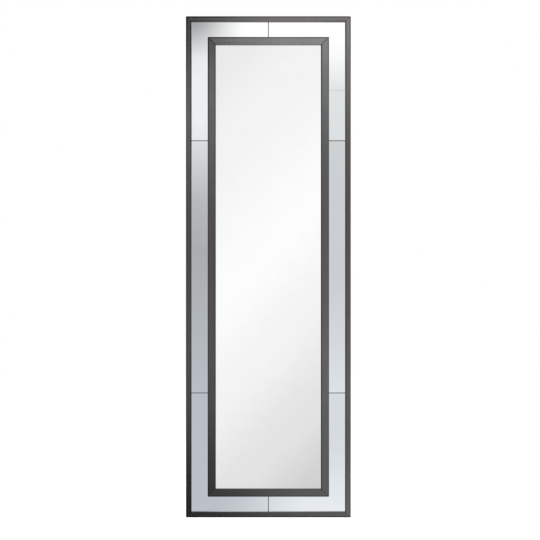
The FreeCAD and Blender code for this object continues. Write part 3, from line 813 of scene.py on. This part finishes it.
# In glass the floor gets duller towards its near edge, to meet what is beyond it
FLOOR_DULL_FADE = (FLOOR_NEAR_EDGE, -0.1, 0.42)

# The share of the world's white that lights the object
WORLD_LIGHT = 0.5

# Lamps: place, what they aim at, size, power, and whether they show in glass and metal
LAMPS = {
    "key": ((2.4, -3.2, 2.6), (0, 0, 0.2), 2.2, 70, False),
    "fill": ((-3.0, -3.4, 0.6), (0, 0, -0.2), 2.4, 22, False),
    "rear_key": ((-2.2, 3.2, 2.4), (0, 0, 0), 3.6, 72, True),
    "rear_fill": ((2.8, 3.0, 0.4), (0, 0, 0), 3.0, 26, True),
}


def where_seen(graph, rays):
    """1 where the camera sees a surface, itself or in glass or metal, and 0 where it lights others."""
    seen = graph.larger(rays.outputs["Is Camera Ray"], rays.outputs["Is Glossy Ray"])
    return graph.larger(seen, rays.outputs["Is Transmission Ray"])


def build_floor():
    """A pale floor under the mirror. The camera sees it white, less its shadow."""
    middle = (0, FLOOR_NEAR_EDGE + FLOOR_DEPTH / 2, cad_low.z - FLOOR_DROP)
    bpy.ops.mesh.primitive_plane_add(size=1, location=middle)
    floor = bpy.context.object
    floor.name = "floor"
    floor.scale = (FLOOR_WIDTH, FLOOR_DEPTH, 1)
    material = bpy.data.materials.new("pale_floor")
    material.use_nodes = True
    graph = Graph(material.node_tree)
    rays = graph.node("ShaderNodeLightPath")
    matt = graph.node("ShaderNodeBsdfDiffuse", {"Color": FLOOR_COLOUR})
    position = graph.node("ShaderNodeNewGeometry").outputs["Position"]
    place = graph.node("ShaderNodeSeparateXYZ", {"Vector": position})
    dulling = graph.fade(place.outputs["Y"], *FLOOR_DULL_FADE)
    dulling = graph.multiply(rays.outputs["Is Singular Ray"], dulling)
    strength = graph.subtract(graph.multiply(where_seen(graph, rays), FLOOR_GLOW), dulling)
    lift = graph.node("ShaderNodeEmission", {"Color": WHITE, "Strength": strength})
    graph.surface(graph.node("ShaderNodeAddShader", {0: matt.outputs[0], 1: lift.outputs[0]}))
    dress(floor, material)


def build_world():
    """White where it is seen or mirrored, and a plain soft level for what it lights."""
    world = bpy.data.worlds.new("studio")
    bpy.context.scene.world = world
    world.use_nodes = True
    graph = Graph(world.node_tree)
    rays = graph.node("ShaderNodeLightPath")
    strength = graph.add(graph.multiply(where_seen(graph, rays), 1.0 - WORLD_LIGHT), WORLD_LIGHT)
    background = graph.node("ShaderNodeBackground", {"Color": WHITE, "Strength": strength})
    output = graph.node("ShaderNodeOutputWorld")
    graph.put(output.inputs["Surface"], background.outputs[0])


def build_lamps():
    for name, (place, target, size, power, mirrored) in LAMPS.items():
        lamp = bpy.data.lights.new(name, "AREA")
        lamp.shape = "SQUARE"
        lamp.size = size
        lamp.energy = power
        light = bpy.data.objects.new(name, lamp)
        light.location = place
        light.rotation_mode = "QUATERNION"
        light.rotation_quaternion = (Vector(target) - Vector(place)).to_track_quat("-Z", "Y")
        light.visible_glossy = mirrored
        bpy.context.scene.collection.objects.link(light)


def build_camera():
    camera = bpy.data.cameras.new("camera")
    camera.sensor_width = SENSOR_WIDTH
    camera.lens = SENSOR_WIDTH * CAMERA_DISTANCE / (IMAGE_SIDE * pixel)
    holder = bpy.data.objects.new("camera", camera)
    holder.location = (camera_x, camera_y, camera_z)
    holder.rotation_euler = (math.radians(90), 0, 0)
    bpy.context.scene.collection.objects.link(holder)
    bpy.context.scene.camera = holder


# Rubber bumpers, which replace their plain solids

# The foot: its share of the radius against the frame, and how far up that widens
BUMPER_FOOT_SHARE = 0.98
BUMPER_FOOT_HEIGHT = 0.3 * MM

# How far the sides draw in up to the crown, and the crown's radius and angles
BUMPER_DRAW = 0.7 * MM
BUMPER_CROWN = 1.6 * MM
CROWN_ANGLES = (6, 90)

# The dished face, from its rim to the moulding mark in its middle: shares of the top's radius, and depths
BUMPER_DISH = ((0.52, 0.0), (0.46, 0.25 * MM), (0.16, 0.35 * MM), (0.14, 0.1 * MM), (0.0, 0.05 * MM))


def build_bumpers(material):
    """Rubber bumpers with a rounded rim, a dished face and a small moulding mark in the middle."""
    for end in ("top", "bottom"):
        for side in ("left", "right"):
            node = "wall_bumper_%s_%s" % (end, side)
            low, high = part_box(node)
            height = high.y - low.y
            base = (high.x - low.x) / 2
            top = base - BUMPER_DRAW
            profile = [(0, 0), (base * BUMPER_FOOT_SHARE, 0), (base, BUMPER_FOOT_HEIGHT)]
            profile += arc(top - BUMPER_CROWN, height - BUMPER_CROWN, BUMPER_CROWN, *CROWN_ANGLES)
            profile += [(top * share, height - depth) for share, depth in BUMPER_DISH]
            place = Vector(((low.x + high.x) / 2, low.y, (low.z + high.z) / 2))
            piece = turned("bumper_%s_%s" % (end, side), profile, place, -FORWARDS)
            dress(piece, material)
            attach(piece, "mirror")
            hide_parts(node)


# Pan-headed wood screws, which replace their plain solids

SCREW_SHANK = 1.75 * MM
SCREW_HEAD_HEIGHT = 1.8 * MM

# The point: shares of the shank's radius, and heights above the tip
SCREW_POINT = ((0.25, 0.8 * MM), (0.80, 3.0 * MM))

# The thread: its pitch, where it starts above the tip and stops below the head, its root as a share of the
# shank's radius, and how far up each pitch its crest and its end are
THREAD_PITCH = 1.5 * MM
THREAD_START = 3.6 * MM
THREAD_STOP = 2.6 * MM
THREAD_ROOT = 0.78
THREAD_CREST_AT = 0.45
THREAD_END_AT = 0.6

# The neck: its share of the shank's radius, and its length
NECK_SHARE = 0.94
NECK_LENGTH = 2.0 * MM

# The head: the rim's share of its height, the share of its radius that it seats on, how high up the rim it
# widens, and the dome's steps and fullness
RIM_SHARE = 0.45
SEAT_SHARE = 0.97
SEAT_WIDENS_AT = 0.25
DOME_STEPS = 8
DOME_FULLNESS = 0.75

# The cross recess: its size by the head's radius, its depth by the head's height, half an arm's thickness by
# its size, and its share of that size at the bottom
RECESS_SIZE = 1.15
RECESS_DEPTH = 0.75
RECESS_ARM = 0.13
RECESS_TAPER = 0.5

# How far round the screws ended up, one after the other, in degrees
SCREW_TURNS = (12, 47, 71, 28, 3, 80, 55, 36)

# Points of a solid that are this near each other are one, and solids are sorted by rounded places
WELD = 0.001 * MM
SORT_DECIMALS = 4


def recess_cutter(size, depth):
    """A tapered cross, the shape of a screwdriver's tip."""
    form = bmesh.new()
    wide, thin = size / 2, size * RECESS_ARM
    turns = [Matrix.Rotation(math.radians(90 * quarter), 3, "Z") for quarter in range(4)]
    rings = []
    for height, taper in ((-depth, RECESS_TAPER), (depth, 1.0)):
        reach = wide * taper
        arm = [Vector((reach, -thin, height)), Vector((reach, thin, height)), Vector((thin, thin, height))]
        rings.append([form.verts.new(turn @ point) for turn in turns for point in arm])
    bottom, top = rings
    for index in range(len(top)):
        form.faces.new((bottom[index - 1], bottom[index], top[index], top[index - 1]))
    form.faces.new(bottom)
    form.faces.new(top)
    bmesh.ops.recalc_face_normals(form, faces=form.faces)
    mesh = bpy.data.meshes.new("recess")
    form.to_mesh(mesh)
    form.free()
    cutter = bpy.data.objects.new("recess", mesh)
    bpy.context.scene.collection.objects.link(cutter)
    return cutter


def screw_profile(length, head):
    """Radii and heights of a screw: its point, its thread, its neck and its domed head."""
    profile = [(0, -length)]
    profile += [(SCREW_SHANK * share, -length + height) for share, height in SCREW_POINT]
    root = SCREW_SHANK * THREAD_ROOT
    height = -length + THREAD_START
    while height < -THREAD_STOP:
        crest = height + THREAD_PITCH * THREAD_CREST_AT
        profile += [(root, height), (SCREW_SHANK, crest), (root, height + THREAD_PITCH * THREAD_END_AT)]
        height += THREAD_PITCH
    neck = SCREW_SHANK * NECK_SHARE
    rim = SCREW_HEAD_HEIGHT * RIM_SHARE
    crown = SCREW_HEAD_HEIGHT - rim
    profile += [(neck, -NECK_LENGTH), (neck, 0)]
    profile += [(head * SEAT_SHARE, 0), (head, rim * SEAT_WIDENS_AT), (head, rim)]
    for step in range(1, DOME_STEPS):
        angle = math.radians(90 * step / DOME_STEPS)
        profile.append((head * math.cos(angle) ** DOME_FULLNESS, rim + crown * math.sin(angle)))
    profile.append((0, SCREW_HEAD_HEIGHT))
    return profile


def build_screw(name, place, length, head, turn, material):
    """A screw with its recess cut, its head's seat at a place, and turned about its axis."""
    piece = turned(name, screw_profile(length, head), Vector((0, 0, 0)), UP)
    cutter = recess_cutter(head * RECESS_SIZE, SCREW_HEAD_HEIGHT * RECESS_DEPTH)
    cutter.location = (0, 0, SCREW_HEAD_HEIGHT)
    cut = piece.modifiers.new("recess", "BOOLEAN")
    cut.operation = "DIFFERENCE"
    cut.object = cutter
    cut.solver = "EXACT"
    bpy.context.view_layer.update()
    shown = piece.evaluated_get(bpy.context.evaluated_depsgraph_get())
    mesh = bpy.data.meshes.new_from_object(shown)
    piece.modifiers.clear()
    piece.data = mesh
    bpy.data.objects.remove(cutter)
    aim = UP.rotation_difference(-FORWARDS).to_matrix().to_4x4()
    piece.data.transform(Matrix.Translation(place) @ aim @ Matrix.Rotation(math.radians(turn), 4, "Z"))
    dress(piece, material)
    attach(piece, "mirror")
    return piece


def solid_boxes(node):
    """The lowest and highest corner of each separate solid of a node, from the bottom up."""
    form = bmesh.new()
    form.from_mesh(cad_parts[node].data)
    bmesh.ops.remove_doubles(form, verts=form.verts, dist=WELD)
    left = set(form.verts)
    boxes = []
    while left:
        stack = [left.pop()]
        found = list(stack)
        while stack:
            for edge in stack.pop().link_edges:
                for vertex in edge.verts:
                    if vertex in left:
                        left.remove(vertex)
                        stack.append(vertex)
                        found.append(vertex)
        low = Vector([min(vertex.co[axis] for vertex in found) for axis in range(3)])
        high = Vector([max(vertex.co[axis] for vertex in found) for axis in range(3)])
        boxes.append((low, high))
    form.free()
    return sorted(boxes, key=lambda box: (round(box[0].z, SORT_DECIMALS), round(box[0].x, SORT_DECIMALS)))


def build_screws(node, material):
    pieces = []
    for index, (low, high) in enumerate(solid_boxes(node)):
        seat = high.y - SCREW_HEAD_HEIGHT
        head = (high.x - low.x) / 2
        place = Vector(((low.x + high.x) / 2, seat, (low.z + high.z) / 2))
        turn = SCREW_TURNS[index % len(SCREW_TURNS)]
        name = "%s_%02d" % (node, index + 1)
        pieces.append(build_screw(name, place, seat - low.y, head, turn, material))
    for piece in pieces:
        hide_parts(node)


# Put it all together

dress_mouldings()
dress_glass()
dress(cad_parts["backing_board"], board_material())
spring_steel = metal_material("spring_steel")
zinc = metal_material("zinc_plate")
wire = metal_material("drawn_wire")
for node in ("outer_corner_nails", "inner_corner_nails", "retainer_points"):
    dress(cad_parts[node], spring_steel)
for side in ("left", "right"):
    dress(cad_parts["hanger_strap_" + side], zinc)
    dress(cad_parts["hanger_ring_" + side], wire)
build_bumpers(rubber_material())
build_screws("inner_frame_screws", zinc)
build_screws("hanger_screws", zinc)
build_cards()
build_floor()
build_world()
build_lamps()
build_camera()
bpy.context.scene.view_settings.view_transform = "Standard"
